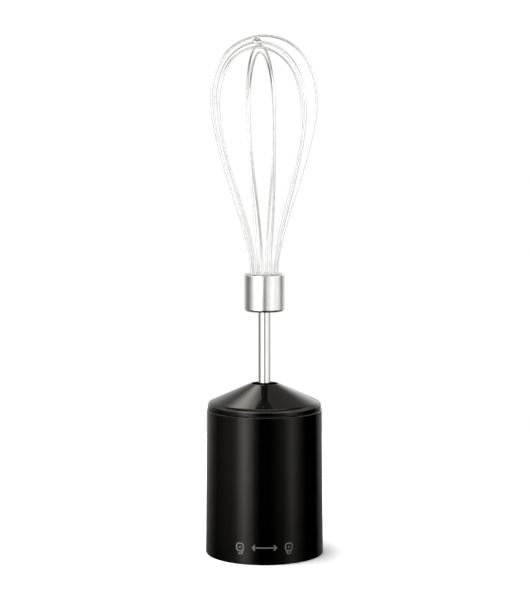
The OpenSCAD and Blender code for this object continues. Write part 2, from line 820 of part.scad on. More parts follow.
module tip_bead() {
    own = loop_angle[bead_loop];
    groove_r = bow_r[bead_loop];
    bead_r = bead_d / 2;
    rise = bead_rise + bead_skirt;
    dome_r = (bead_r * bead_r + rise * rise) / (2 * rise);
    dome_angle = asin(bead_r / dome_r);
    color("#cfd1d3")
    translate([loop_lean[bead_loop], 0, apex(bead_loop)])
        difference() {
            turned(concat([[0, -bead_skirt]],
                arc([0, bead_rise - dome_r], dome_r, 90 - dome_angle, 90, 8)));
            translate([0, 0, -groove_r]) rotate([90, 0, own])
                rotate_extrude() translate([groove_r, 0]) circle(r = hole_r, $fn = 32);
        }
}

outer_shell();
coupling_sleeve();
cone_cap();
shaft_seal();
gearbox_base();
ring_gear();
gearbox_lid();
gearbox_screws();
input_bush();
output_bush();
sun_gear();
drive_coupling();
input_circlip();
planet_carrier();
planet_pins();
carrier_plate();
thrust_washer();
output_washer();
output_circlip();
snap_ring();
planet_gear(0);  // planet_gear_1
planet_gear(1);  // planet_gear_2
planet_gear(2);  // planet_gear_3
whisk_shaft();
hub_base();
hub_shell();
wire_holder();
wire_loop(0);  // wire_loop_1
wire_loop(1);  // wire_loop_2
wire_loop(2);  // wire_loop_3
wire_loop(3);  // wire_loop_4
wire_loop(4);  // wire_loop_5
tip_bead();
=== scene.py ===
"""Whisk attachment of a hand blender, dressed for its portrait.

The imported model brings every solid. This script gives each one its finish, smooths the turned and
bent ones, prints the lock marks on the shell, and sets up the table, the light and the camera.
All lengths are in metres, in the frame of the model: +Z up, the lock marks towards -Y.
"""

import json
import math

import bmesh
import bpy
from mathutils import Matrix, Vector

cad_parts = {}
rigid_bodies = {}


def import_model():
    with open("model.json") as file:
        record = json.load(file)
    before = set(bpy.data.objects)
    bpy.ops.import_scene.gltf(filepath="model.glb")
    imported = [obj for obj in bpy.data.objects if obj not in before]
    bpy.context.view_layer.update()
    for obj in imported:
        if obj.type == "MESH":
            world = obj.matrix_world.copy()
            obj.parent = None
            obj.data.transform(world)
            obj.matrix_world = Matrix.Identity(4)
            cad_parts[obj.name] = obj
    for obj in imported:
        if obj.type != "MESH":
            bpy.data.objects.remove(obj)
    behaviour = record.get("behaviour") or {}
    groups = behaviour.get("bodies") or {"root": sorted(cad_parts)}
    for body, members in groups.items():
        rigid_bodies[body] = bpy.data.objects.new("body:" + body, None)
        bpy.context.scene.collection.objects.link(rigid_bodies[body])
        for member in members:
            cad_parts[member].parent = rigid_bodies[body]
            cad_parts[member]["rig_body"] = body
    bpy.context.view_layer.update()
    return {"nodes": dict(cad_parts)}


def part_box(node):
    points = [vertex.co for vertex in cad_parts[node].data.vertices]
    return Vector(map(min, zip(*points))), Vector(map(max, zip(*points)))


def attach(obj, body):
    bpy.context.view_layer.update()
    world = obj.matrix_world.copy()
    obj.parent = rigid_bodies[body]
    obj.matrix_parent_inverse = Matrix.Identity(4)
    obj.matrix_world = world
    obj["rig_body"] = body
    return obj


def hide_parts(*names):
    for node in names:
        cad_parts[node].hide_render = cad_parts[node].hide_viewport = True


MM = 0.001

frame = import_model()

SHELL_LOW, SHELL_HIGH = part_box("outer_shell")
WIRE_LOOPS = [f"wire_loop_{number}" for number in range(1, 6)]
PLANETS = [f"planet_gear_{number}" for number in range(1, 4)]


# ---- Materials ----


def colour(hex_value):
    """The linear colour of an sRGB hex value."""
    parts = [int(hex_value[i : i + 2], 16) / 255 for i in (1, 3, 5)]
    return [p / 12.92 if p <= 0.04045 else ((p + 0.055) / 1.055) ** 2.4 for p in parts] + [1.0]


def per_size(size_mm):
    """The scale at which a texture's features are this many millimetres across."""
    return 1 / (size_mm * MM)


def add(tree, kind, inputs=None, links=None, **settings):
    """Adds a node with its settings, its input values and its incoming links."""
    node = tree.nodes.new(kind)
    for name, value in settings.items():
        setattr(node, name, value)
    for name, value in (inputs or {}).items():
        node.inputs[name].default_value = value
    for name, source in (links or {}).items():
        tree.links.new(source, node.inputs[name])
    return node


def new_material(name, **surface):
    """A material with one Principled shader that holds these constant values."""
    material = bpy.data.materials.new(name)
    material.use_nodes = True
    tree = material.node_tree
    shader = tree.nodes["Principled BSDF"]
    for socket, value in surface.items():
        shader.inputs[socket.replace("_", " ")].default_value = value
    place = add(tree, "ShaderNodeTexCoord").outputs["Object"]
    return material, tree, shader, place


def feed(tree, shader, **sources):
    """Links outputs to the shader's sockets of the same names."""
    for socket, source in sources.items():
        tree.links.new(source, shader.inputs[socket.replace("_", " ")])


def stops(ramp, *pairs):
    """Sets a colour ramp's stops, each a position and a grey or a colour."""
    elements = ramp.color_ramp.elements
    while len(elements) < len(pairs):
        elements.new(0.5)
    for element, (position, value) in zip(elements, pairs):
        element.position = position
        element.color = value if isinstance(value, list) else [value, value, value, 1]


def polished_abs():
    """ABS, injection moulded in a polished mould: deep black with a wet gloss."""
    material, tree, shader, place = new_material("polished_black_abs", IOR=1.54)
    # The mould's polish leaves a faint waviness, and handling leaves dull patches and dust.
    waves = add(
        tree, "ShaderNodeTexNoise", {"Scale": per_size(9), "Detail": 1.0}, {"Vector": place}
    )
    handling = add(
        tree, "ShaderNodeTexNoise", {"Scale": per_size(14), "Detail": 4.0}, {"Vector": place}
    )
    roughness = add(
        tree,
        "ShaderNodeMapRange",
        {"From Min": 0.35, "From Max": 0.7, "To Min": 0.07, "To Max": 0.13},
        {"Value": handling.outputs["Fac"]},
    )
    # One dust grain in every 3.2 mm or so. Real ones are 0.15 mm across, drawn at 0.3 mm.
    dust = add(tree, "ShaderNodeTexVoronoi", {"Scale": per_size(3.2)}, {"Vector": place})
    grain = add(tree, "ShaderNodeValToRGB", links={"Fac": dust.outputs["Distance"]})
    stops(grain, (0.0, colour("#1c1c1b")), (0.05, colour("#010101")))
    bump = add(
        tree,
        "ShaderNodeBump",
        {"Strength": 0.05, "Distance": 0.2 * MM},
        {"Height": waves.outputs["Fac"]},
    )
    feed(
        tree,
        shader,
        Base_Color=grain.outputs["Color"],
        Roughness=roughness.outputs["Result"],
        Normal=bump.outputs["Normal"],
    )
    return material


def textured_abs():
    """ABS from a spark-eroded mould: black with a fine dull grain."""
    material, tree, shader, place = new_material(
        "spark_textured_black_abs", IOR=1.54, Roughness=0.48
    )
    # Spark erosion pits are about 0.1 mm across, drawn at 0.35 mm.
    pits = add(
        tree, "ShaderNodeTexNoise", {"Scale": per_size(0.35), "Detail": 2.0}, {"Vector": place}
    )
    shade = add(tree, "ShaderNodeValToRGB", links={"Fac": pits.outputs["Fac"]})
    stops(shade, (0.3, colour("#121214")), (0.7, colour("#202022")))
    bump = add(
        tree,
        "ShaderNodeBump",
        {"Strength": 0.35, "Distance": 0.04 * MM},
        {"Height": pits.outputs["Fac"]},
    )
    feed(tree, shader, Base_Color=shade.outputs["Color"], Normal=bump.outputs["Normal"])
    return material


def nitrile_rubber():
    """Nitrile rubber, moulded: a soft black with a light bloom."""
    material, tree, shader, place = new_material("moulded_nitrile_rubber", IOR=1.52, Roughness=0.6)
    bloom = add(
        tree, "ShaderNodeTexNoise", {"Scale": per_size(2), "Detail": 5.0}, {"Vector": place}
    )
    shade = add(tree, "ShaderNodeValToRGB", links={"Fac": bloom.outputs["Fac"]})
    stops(shade, (0.35, colour("#0c0c0c")), (0.75, colour("#1b1b1a")))
    bump = add(
        tree,
        "ShaderNodeBump",
        {"Strength": 0.2, "Distance": 0.03 * MM},
        {"Height": bloom.outputs["Fac"]},
    )
    feed(tree, shader, Base_Color=shade.outputs["Color"], Normal=bump.outputs["Normal"])
    return material


def turned_lines(tree, place, pitch_mm):
    """The height of the fine rings that a lathe or a polishing belt leaves round the Z axis."""
    # Real ones are about 0.05 mm apart. Each finish draws them as coarse as they need to show.
    along = add(tree, "ShaderNodeSeparateXYZ", links={"Vector": place})
    lines = add(
        tree,
        "ShaderNodeTexNoise",
        {"Scale": per_size(pitch_mm), "Detail": 3.0, "Roughness": 0.6},
        {"W": along.outputs["Z"]},
        noise_dimensions="1D",
    )
    return lines.outputs["Fac"]


def polished_stainless(name, pitch_mm, dull, bright):
    """Stainless steel, turned and then polished: nearly white, with faint rings round it."""
    material, tree, shader, place = new_material(name, Metallic=1.0)
    rings = turned_lines(tree, place, pitch_mm)
    wiped = add(
        tree, "ShaderNodeTexNoise", {"Scale": per_size(6), "Detail": 3.0}, {"Vector": place}
    )
    tint = add(tree, "ShaderNodeValToRGB", links={"Fac": wiped.outputs["Fac"]})
    stops(tint, (0.3, colour("#e4e4e2")), (0.7, colour("#ececea")))
    roughness = add(
        tree,
        "ShaderNodeMapRange",
        {"From Min": 0.3, "From Max": 0.7, "To Min": bright, "To Max": dull},
        {"Value": rings},
    )
    bump = add(
        tree, "ShaderNodeBump", {"Strength": 0.03, "Distance": 0.01 * MM}, {"Height": rings}
    )
    feed(
        tree,
        shader,
        Base_Color=tint.outputs["Color"],
        Roughness=roughness.outputs["Result"],
        Normal=bump.outputs["Normal"],
    )
    return material


def drawn_wire():
    """Stainless spring wire, drawn and tumbled: bright, with small changes of gloss along it."""
    material, tree, shader, place = new_material("drawn_stainless_wire", Metallic=1.0)
    marks = add(
        tree, "ShaderNodeTexNoise", {"Scale": per_size(2.5), "Detail": 3.0}, {"Vector": place}
    )
    tint = add(tree, "ShaderNodeValToRGB", links={"Fac": marks.outputs["Fac"]})
    stops(tint, (0.35, colour("#e6e6e5")), (0.65, colour("#f0f0ef")))
    roughness = add(
        tree,
        "ShaderNodeMapRange",
        {"From Min": 0.3, "From Max": 0.7, "To Min": 0.26, "To Max": 0.34},
        {"Value": marks.outputs["Fac"]},
    )
    feed(tree, shader, Base_Color=tint.outputs["Color"], Roughness=roughness.outputs["Result"])
    return material


def machined_steel():
    """Carbon steel as machined: grey, with tool marks and an oily sheen."""
    material, tree, shader, place = new_material(
        "machined_carbon_steel", Metallic=1.0, Roughness=0.34
    )
    rings = turned_lines(tree, place, 0.3)
    tint = add(tree, "ShaderNodeValToRGB", links={"Fac": rings})
    stops(tint, (0.3, colour("#8d8f92")), (0.7, colour("#a9abae")))
    bump = add(
        tree, "ShaderNodeBump", {"Strength": 0.15, "Distance": 0.01 * MM}, {"Height": rings}
    )
    feed(tree, shader, Base_Color=tint.outputs["Color"], Normal=bump.outputs["Normal"])
    return material


def die_cast_zinc():
    """Zinc alloy, die cast: a dull grey skin with flow marks."""
    material, tree, shader, place = new_material("die_cast_zinc", Metallic=1.0, Roughness=0.5)
    flow = add(
        tree,
        "ShaderNodeTexNoise",
        {"Scale": per_size(4), "Detail": 5.0, "Distortion": 0.8},
        {"Vector": place},
    )
    tint = add(tree, "ShaderNodeValToRGB", links={"Fac": flow.outputs["Fac"]})
    stops(tint, (0.3, colour("#7d7f82")), (0.7, colour("#96989a")))
    bump = add(
        tree,
        "ShaderNodeBump",
        {"Strength": 0.25, "Distance": 0.05 * MM},
        {"Height": flow.outputs["Fac"]},
    )
    feed(tree, shader, Base_Color=tint.outputs["Color"], Normal=bump.outputs["Normal"])
    return material


def sintered_bronze():
    """Bronze, pressed from powder and sintered: brown-gold and finely pored."""
    material, tree, shader, place = new_material("sintered_bronze", Metallic=1.0, Roughness=0.42)
    # Pores are about 0.05 mm across, drawn at 0.2 mm.
    pores = add(tree, "ShaderNodeTexVoronoi", {"Scale": per_size(0.2)}, {"Vector": place})
    tint = add(tree, "ShaderNodeValToRGB", links={"Fac": pores.outputs["Distance"]})
    stops(tint, (0.1, colour("#6b5230")), (0.45, colour("#a98350")))
    feed(tree, shader, Base_Color=tint.outputs["Color"])
    return material


def natural_acetal():
    """Acetal, moulded and left in its natural colour: milky white and slippery."""
    material, tree, shader, place = new_material("natural_acetal", IOR=1.48, Roughness=0.32)
    cloud = add(
        tree, "ShaderNodeTexNoise", {"Scale": per_size(5), "Detail": 2.0}, {"Vector": place}
    )
    tint = add(tree, "ShaderNodeValToRGB", links={"Fac": cloud.outputs["Fac"]})
    stops(tint, (0.3, colour("#dcd8cb")), (0.7, colour("#e8e5da")))
    feed(tree, shader, Base_Color=tint.outputs["Color"])
    return material


def printed_ink():
    """Two-part ink, pad printed on the shell: matt grey, a little thin in places."""
    material, tree, shader, place = new_material("pad_printed_grey_ink", IOR=1.5, Roughness=0.55)
    # The ink's cover varies over about 0.4 mm.
    cover = add(
        tree, "ShaderNodeTexNoise", {"Scale": per_size(0.4), "Detail": 2.0}, {"Vector": place}
    )
    tint = add(tree, "ShaderNodeValToRGB", links={"Fac": cover.outputs["Fac"]})
    stops(tint, (0.3, colour("#5c5c5d")), (0.7, colour("#787879")))
    feed(tree, shader, Base_Color=tint.outputs["Color"])
    return material


MATERIALS = {
    "shell": polished_abs(),
    "textured": textured_abs(),
    "rubber": nitrile_rubber(),
    "shaft": polished_stainless("polished_stainless_shaft", pitch_mm=0.5, dull=0.1, bright=0.06),
    "hub": polished_stainless("turned_stainless_hub", pitch_mm=0.35, dull=0.24, bright=0.17),
    "wire": drawn_wire(),
    "machined": machined_steel(),
    "zinc": die_cast_zinc(),
    "bronze": sintered_bronze(),
    "acetal": natural_acetal(),
    "ink": printed_ink(),
}
FINISH = {
    "shell": ["outer_shell", "cone_cap"],
    "textured": ["coupling_sleeve", "drive_coupling", "wire_holder"],
    "rubber": ["shaft_seal"],
    "shaft": ["whisk_shaft"],
    "hub": ["hub_shell", "hub_base", "tip_bead"],
    "wire": WIRE_LOOPS,
    "machined": [
        "sun_gear",
        "planet_carrier",
        "planet_pins",
        "carrier_plate",
        "output_washer",
        "output_circlip",
        "input_circlip",
        "snap_ring",
        "gearbox_screws",
    ],
    "zinc": ["gearbox_base", "gearbox_lid"],
    "bronze": ["input_bush", "output_bush"],
    "acetal": ["ring_gear", "thrust_washer"] + PLANETS,
}


def finish(piece, material):
    """Puts one material on a piece."""
    piece.data.materials.clear()
    piece.data.materials.append(material)


for key, nodes in FINISH.items():
    for node in nodes:
        finish(frame["nodes"][node], MATERIALS[key])


# ---- Smoothed pieces ----

TURNED_PIECES = [
    "outer_shell",
    "cone_cap",
    "shaft_seal",
    "whisk_shaft",
    "hub_shell",
    "hub_base",
    "coupling_sleeve",
    "drive_coupling",
    "gearbox_base",
    "tip_bead",
]
# Edges sharper than this many degrees stay sharp.
TURNED_EDGE = 25
WIRE_EDGE = 60
WELD_GAP = 0.002 * MM


def take(piece):
    """Selects one piece and nothing else."""
    bpy.ops.object.select_all(action="DESELECT")
    piece.select_set(True)
    bpy.context.view_layer.objects.active = piece


def copy_of(piece, name):
    """A copy of a piece with a mesh of its own."""
    copy = bpy.data.objects.new(name, piece.data.copy())
    bpy.context.scene.collection.objects.link(copy)
    return copy


def join_parts(name, parts):
    """Joins parts into one piece with this name. The first part takes the others in."""
    take(parts[0])
    for part in parts[1:]:
        part.select_set(True)
    bpy.ops.object.join()
    parts[0].name = name
    return parts[0]


def smooth_copy(node, angle, rounds=0):
    """A copy of a solid with its facets joined, its round faces smooth and its edges still sharp.
    With rounds, its cross section is rounded that many times as well."""
    source = frame["nodes"][node]
    piece = copy_of(source, f"{node}_finished")
    take(piece)
    bpy.ops.object.mode_set(mode="EDIT")
    bpy.ops.mesh.select_all(action="SELECT")
    bpy.ops.mesh.remove_doubles(threshold=WELD_GAP)
    bpy.ops.object.mode_set(mode="OBJECT")
    if rounds:
        rounding = piece.modifiers.new("rounding", "SUBSURF")
        rounding.levels = rounding.render_levels = rounds
        bpy.ops.object.modifier_apply(modifier=rounding.name)
    bpy.ops.object.shade_smooth_by_angle(angle=math.radians(angle))
    if not rounds:
        # Broad faces keep their own direction, and the small roundings beside them give way.
        evening = piece.modifiers.new("evening", "WEIGHTED_NORMAL")
        evening.keep_sharp = True
        evening.weight = 100
        bpy.ops.object.modifier_apply(modifier=evening.name)
    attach(piece, source["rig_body"])
    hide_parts(node)


for node in TURNED_PIECES:
    smooth_copy(node, TURNED_EDGE)
for node in WIRE_LOOPS:
    smooth_copy(node, WIRE_EDGE, rounds=1)


# ---- Lock marks ----

MARK_HEIGHT = 8.5 * MM
MARK_SPACING = 12.1 * MM
INK_THICKNESS = 0.03 * MM
INK_LIFT = 0.01 * MM
STROKE = 0.6 * MM

LOCK_WIDTH = 4.1 * MM
LOCK_HEIGHT = 4.2 * MM
LOCK_CORNER = 1.5 * MM
KEYHOLE_RADIUS = 0.5 * MM
CLOSED_SHACKLE_WIDTH = 2.6 * MM
OPEN_SHACKLE_WIDTH = 3.2 * MM
SHACKLE_HEIGHT = 3.4 * MM
SHACKLE_CORNER = 1.15 * MM
SHACKLE_MIDDLE = (0, -1.75 * MM)
SHACKLE_START = (0, -1.6 * MM, 0)
OPENING_PLACE = (-0.7 * MM, -2.8 * MM, 0)
OPENING_WAY = (-0.8, 0.6, 0)

ARROW_LENGTH = 11.8 * MM
ARROW_BAR = 0.5 * MM
BARB_REACH = 1.3 * MM
BARB_WIDTH = 0.62 * MM
BARB_OVERLAP = 0.1 * MM

SHELL_TOP_RADIUS = max(
    vertex.co.xy.length
    for vertex in frame["nodes"]["outer_shell"].data.vertices
    if vertex.co.z > SHELL_HIGH.z - MM
)


def new_flat(name, make, **settings):
    """Adds a flat primitive in the XY plane and opens it in edit mode."""
    bpy.ops.object.select_all(action="DESELECT")
    make(**settings)
    piece = bpy.context.object
    piece.name = name
    bpy.ops.object.mode_set(mode="EDIT")
    bpy.ops.mesh.select_all(action="SELECT")
    return piece


def drop_faces(piece, wanted):
    """Deletes the faces whose centre meets a condition. The piece is in edit mode."""
    mesh = bmesh.from_edit_mesh(piece.data)
    for face in mesh.faces:
        face.select = wanted(face.calc_center_median())
    bmesh.update_edit_mesh(piece.data)
    bpy.ops.mesh.delete(type="FACE")


def ring_mark(name, width, height, corner):
    """A ring with rounded corners round the origin."""
    piece = new_flat(name, bpy.ops.mesh.primitive_plane_add, size=1)
    bpy.ops.transform.resize(value=(width, height, 1))
    bpy.ops.mesh.bevel(offset=corner, segments=6, affect="VERTICES")
    bpy.ops.mesh.select_all(action="SELECT")
    bpy.ops.mesh.inset(thickness=STROKE)
    inner = min(width, height) / 2 - STROKE
    drop_faces(piece, lambda centre: centre.length < inner / 2)
    bpy.ops.object.mode_set(mode="OBJECT")
    return piece


def dot_mark(name, radius):
    """A filled round dot at the origin."""
    piece = new_flat(
        name, bpy.ops.mesh.primitive_circle_add, vertices=20, radius=radius, fill_type="NGON"
    )
    bpy.ops.object.mode_set(mode="OBJECT")
    return piece


def move_flat(piece, x, y):
    """Moves a flat mark's mesh in its own plane."""
    take(piece)
    bpy.ops.object.mode_set(mode="EDIT")
    bpy.ops.mesh.select_all(action="SELECT")
    bpy.ops.transform.translate(value=(x, y, 0))
    bpy.ops.object.mode_set(mode="OBJECT")


def cut_flat(piece, point, normal):
    """Cuts a flat mark along a line and drops the side that the normal points to."""
    take(piece)
    bpy.ops.object.mode_set(mode="EDIT")
    bpy.ops.mesh.select_all(action="SELECT")
    bpy.ops.mesh.bisect(plane_co=point, plane_no=normal, clear_outer=True)
    bpy.ops.object.mode_set(mode="OBJECT")


def lock_body(name):
    """A padlock's body: a ring with a keyhole."""
    ring = ring_mark(name, LOCK_WIDTH, LOCK_HEIGHT, LOCK_CORNER)
    return join_parts(name, [ring, dot_mark("keyhole", KEYHOLE_RADIUS)])


def padlock(body, x, shackle_width, closed):
    """A padlock drawn upside down: its body, with a shackle below it. An open one has its left leg
    cut off."""
    shackle = ring_mark("shackle", shackle_width, SHACKLE_HEIGHT, SHACKLE_CORNER)
    move_flat(shackle, *SHACKLE_MIDDLE)
    cut_flat(shackle, SHACKLE_START, (0, 1, 0))
    if not closed:
        cut_flat(shackle, OPENING_PLACE, OPENING_WAY)
    lock = join_parts(body.name, [body, shackle])
    move_flat(lock, x, 0)
    return lock


def bar_mark(name, start, end, width):
    """A straight bar between two points."""
    run = Vector(end) - Vector(start)
    piece = new_flat(name, bpy.ops.mesh.primitive_plane_add, size=1)
    bpy.ops.transform.resize(value=(run.length, width, 1))
    bpy.ops.transform.rotate(
        value=-math.atan2(run.y, run.x), orient_axis="Z", center_override=(0, 0, 0)
    )
    bpy.ops.object.mode_set(mode="OBJECT")
    middle = (Vector(start) + Vector(end)) / 2
    move_flat(piece, middle.x, middle.y)
    return piece


def flip_flat(piece, x, y):
    """Mirrors a flat mark's mesh across the middle, where x or y is -1."""
    take(piece)
    bpy.ops.object.mode_set(mode="EDIT")
    bpy.ops.mesh.select_all(action="SELECT")
    bpy.ops.transform.resize(value=(x, y, 1), center_override=(0, 0, 0))
    bpy.ops.object.mode_set(mode="OBJECT")


def double_arrow():
    """A thin bar with an open head at each end. A head's two barbs overlap at its tip."""
    half = ARROW_LENGTH / 2
    bar = bar_mark("mark_arrow", (ARROW_BAR - half, 0), (half - ARROW_BAR, 0), ARROW_BAR)
    end = (half - BARB_REACH, BARB_REACH)
    barb = bar_mark("arrow_barb", (half, -BARB_OVERLAP), end, BARB_WIDTH)
    parts = [bar, barb]
    for x, y in ((1, -1), (-1, 1), (-1, -1)):
        parts.append(copy_of(barb, "arrow_barb"))
        flip_flat(parts[-1], x, y)
    return join_parts("mark_arrow", parts)


def shell_radius(height):
    """The shell's outer radius at a height: it narrows evenly from its rim to its seam."""
    share = (height - SHELL_LOW.z) / (SHELL_HIGH.z - SHELL_LOW.z)
    return SHELL_HIGH.x + (SHELL_TOP_RADIUS - SHELL_HIGH.x) * share


def print_on_shell(piece):
    """Lays a flat mark on the front of the shell and gives the ink its thickness."""
    take(piece)
    bpy.ops.object.mode_set(mode="EDIT")
    bpy.ops.mesh.select_all(action="SELECT")
    bpy.ops.mesh.quads_convert_to_tris()
    bpy.ops.mesh.subdivide(number_cuts=3)
    bpy.ops.object.mode_set(mode="OBJECT")
    for vertex in piece.data.vertices:
        height = MARK_HEIGHT + vertex.co.y
        radius = shell_radius(height) + INK_LIFT
        turn = vertex.co.x / radius
        vertex.co = Vector((radius * math.sin(turn), -radius * math.cos(turn), height))
    bpy.ops.object.mode_set(mode="EDIT")
    bpy.ops.mesh.select_all(action="SELECT")
    bpy.ops.mesh.normals_make_consistent(inside=False)
    bpy.ops.object.mode_set(mode="OBJECT")
    body = piece.modifiers.new("ink", "SOLIDIFY")
    body.thickness = INK_THICKNESS
    body.offset = 1
    bpy.ops.object.modifier_apply(modifier=body.name)
    finish(piece, MATERIALS["ink"])
    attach(piece, "housing")


open_body = lock_body("mark_unlocked")
arrow = double_arrow()
closed_body = copy_of(open_body, "mark_locked")
print_on_shell(padlock(open_body, -MARK_SPACING, OPEN_SHACKLE_WIDTH, closed=False))
print_on_shell(arrow)
print_on_shell(padlock(closed_body, MARK_SPACING, CLOSED_SHACKLE_WIDTH, closed=True))


# ---- Table, light and camera ----

TABLE_SIZE = 0.7
# The card's colour times this, so that the lit card is plain white right up to the contact shadow.
TABLE_GAIN = 1.8

CARD_RADIUS = 140 * MM
CARD_FOOT = -240 * MM
CARD_TOP = 62 * MM

# What the shiny surfaces mirror, band by band from below. Each pair is a heading in degrees and a
# share of the band's strength. Headings are 0 towards the camera, negative to the left, and a half
# turn behind.
# The far table is white all round, but for the gaps beside the boxes and for the camera.
FAR_TABLE_STRENGTH = 4.0
FAR_TABLE = [
    (-180, 0.2),
    (-145, 0.2),
    (-122, 0.06),
    (-98, 0.04),
    (-80, 0.14),
    (-60, 0.3),
    (-42, 0.55),
    (-22, 0.45),
    (-8, 0.24),
    (-4, 0.06),
    (6, 0.06),
    (14, 0.2),
    (34, 0.26),
    (46, 0.36),
    (60, 0.26),
    (88, 0.26),
    (104, 0.1),
    (120, 0.07),
    (134, 0.18),
    (148, 0.21),
    (180, 0.21),
]
# Above it the room is dimmer, with a soft box on each side, the left one twice as bright.
ROOM_STRENGTH = 5.0
ROOM = [
    (-180, 0.16),
    (-150, 0.14),
    (-120, 0.12),
    (-100, 0.2),
    (-60, 0.3),
    (-44, 1.0),
    (-27, 0.7),
    (-14, 0.2),
    (20, 0.2),
    (34, 0.3),
    (46, 0.5),
    (60, 0.3),
    (100, 0.2),
    (122, 0.12),
    (150, 0.24),
    (170, 0.28),
    (180, 0.18),
]
# Higher up the room is open in front, and then dark. Behind, the cove goes on unchanged.
HIGH_STRENGTH = 1.0
OPEN_FRONT = [(-180, 0.32), (-150, 0.4), (-115, 0.95), (115, 0.95), (150, 0.25), (180, 0.28)]
DARK_FRONT = [(-180, 0.32), (-150, 0.4), (-120, 0.06), (120, 0.06), (150, 0.25), (180, 0.28)]
HIGH_TINT = (1.0, 0.94, 0.88)
# One round lamp stands behind and above, a little to the left.
LAMP_WAY = (-0.19, 0.621, 0.76)
LAMP_SHARPNESS = 130
LAMP_STRENGTH = 2.6
# Straight up and straight down it is pale.
PALE = 0.75
# Where the bands run together: a direction's height is -1 straight down, 0 level and 1 straight up.
PALE_TO_FAR_TABLE = (-0.65, -0.35)
FAR_TABLE_TO_ROOM = (0.07, 0.14)
ROOM_TO_HIGH = (0.25, 0.62)
OPEN_TO_DARK = (0.6, 0.74)
DARK_TO_PALE = (0.87, 0.93)

# Matt surfaces are lit strongly from the left and weakly from the right.
MATT_LEFT = 2.1
MATT_RIGHT = 0.18
MATT_CHANGE = 0.15

# Strips of light on the dark card round the black unit, dimmer towards its foot.
STRIPS_STRENGTH = 2.2
STRIPS = [
    (-180, 0.2),
    (-136, 0.16),
    (-98, 0.02),
    (-62, 0.09),
    (-52, 0.18),
    (-36, 0.8),
    (-17, 0.08),
    (-8, 0.0),
    (11, 0.0),
    (34, 0.07),
    (50, 0.27),
    (66, 0.07),
    (80, 0.0),
    (112, 0.0),
    (130, 0.12),
    (180, 0.2),
]
STRIPS_TINT = (1.0, 0.97, 0.88)
STRIPS_FOOT_SHARE = 0.4
STRIPS_CHANGE = 50 * MM

CAMERA_PLACE = Vector((0.536 * MM, -0.82, 0.2))
CAMERA_TARGET = Vector((0.536 * MM, 0, 125.07 * MM))
LENS = 100.98
SENSOR_HEIGHT = 36


def white_card():
    """Matt white card, with a colour so bright that only the deepest part of a shadow shows."""
    material, tree, shader, place = new_material("white_card", Roughness=0.9)
    # Card fibres clump at about 0.2 mm, drawn at 0.5 mm.
    fibres = add(tree, "ShaderNodeTexNoise", {"Scale": per_size(0.5)}, {"Vector": place})
    tint = add(tree, "ShaderNodeValToRGB", links={"Fac": fibres.outputs["Fac"]})
    stops(tint, (0.3, colour("#f4f4f4")), (0.7, colour("#f8f8f8")))
    bright = add(
        tree,
        "ShaderNodeVectorMath",
        {"Scale": TABLE_GAIN},
        {0: tint.outputs["Color"]},
        operation="SCALE",
    )
    feed(tree, shader, Base_Color=bright.outputs["Vector"])
    # Seen from below the table is clear, so that the underside can be looked at.
    clear = add(tree, "ShaderNodeBsdfTransparent")
    under = add(tree, "ShaderNodeNewGeometry").outputs["Backfacing"]
    side = add(
        tree,
        "ShaderNodeMixShader",
        links={0: under, 1: shader.outputs["BSDF"], 2: clear.outputs["BSDF"]},
    )
    tree.links.new(side.outputs["Shader"], tree.nodes["Material Output"].inputs["Surface"])
    return material


def lay_table():
    """The white table under the part. It shows the shadow, and nothing mirrors it."""
    bpy.ops.object.select_all(action="DESELECT")
    bpy.ops.mesh.primitive_plane_add(size=TABLE_SIZE)
    table = bpy.context.object
    table.name = "table"
    finish(table, white_card())
    table.visible_glossy = table.visible_diffuse = False


def heading_of(tree, part):
    """0 to 1 round the studio from a direction's parts: 0.5 is towards the camera."""
    back = add(tree, "ShaderNodeMath", {1: -1.0}, {0: part.outputs["Y"]}, operation="MULTIPLY")
    angle = add(
        tree,
        "ShaderNodeMath",
        links={0: part.outputs["X"], 1: back.outputs["Value"]},
        operation="ARCTAN2",
    )
    turn = add(
        tree,
        "ShaderNodeMapRange",
        {"From Min": -math.pi, "From Max": math.pi},
        {"Value": angle.outputs["Value"]},
    )
    return turn.outputs["Result"]


def wall(tree, turn, strength, pairs):
    """Brightness round the studio: a band's strength times the shares at its headings."""
    ramp = add(tree, "ShaderNodeValToRGB", links={"Fac": turn})
    stops(ramp, *[((degrees + 180) / 360, share) for degrees, share in pairs])
    band = add(
        tree,
        "ShaderNodeVectorMath",
        {"Scale": strength},
        {0: ramp.outputs["Color"]},
        operation="SCALE",
    )
    return band.outputs["Vector"]


def meet(tree, height, change, below, above):
    """Two bands, one above the other, that run smoothly together where the height changes."""
    low, high = change
    rise = add(
        tree,
        "ShaderNodeMapRange",
        {"From Min": low, "From Max": high},
        {"Value": height},
        interpolation_type="SMOOTHSTEP",
    )
    both = add(
        tree,
        "ShaderNodeMix",
        links={"Factor": rise.outputs["Result"], "A": below, "B": above},
        data_type="RGBA",
    )
    return both.outputs["Result"]


def lamp_glow(tree, way):
    """The lamp's round soft light, which is narrower the sharper it is."""
    nearness = add(
        tree,
        "ShaderNodeVectorMath",
        {1: Vector(LAMP_WAY).normalized()},
        {0: way},
        operation="DOT_PRODUCT",
    )
    ahead = add(
        tree, "ShaderNodeMath", {1: 0.0}, {0: nearness.outputs["Value"]}, operation="MAXIMUM"
    )
    fade = add(
        tree, "ShaderNodeMath", {1: LAMP_SHARPNESS}, {0: ahead.outputs["Value"]}, operation="POWER"
    )
    glow = add(
        tree,
        "ShaderNodeVectorMath",
        {0: [LAMP_STRENGTH] * 3},
        {"Scale": fade.outputs["Value"]},
        operation="SCALE",
    )
    return glow.outputs["Vector"]


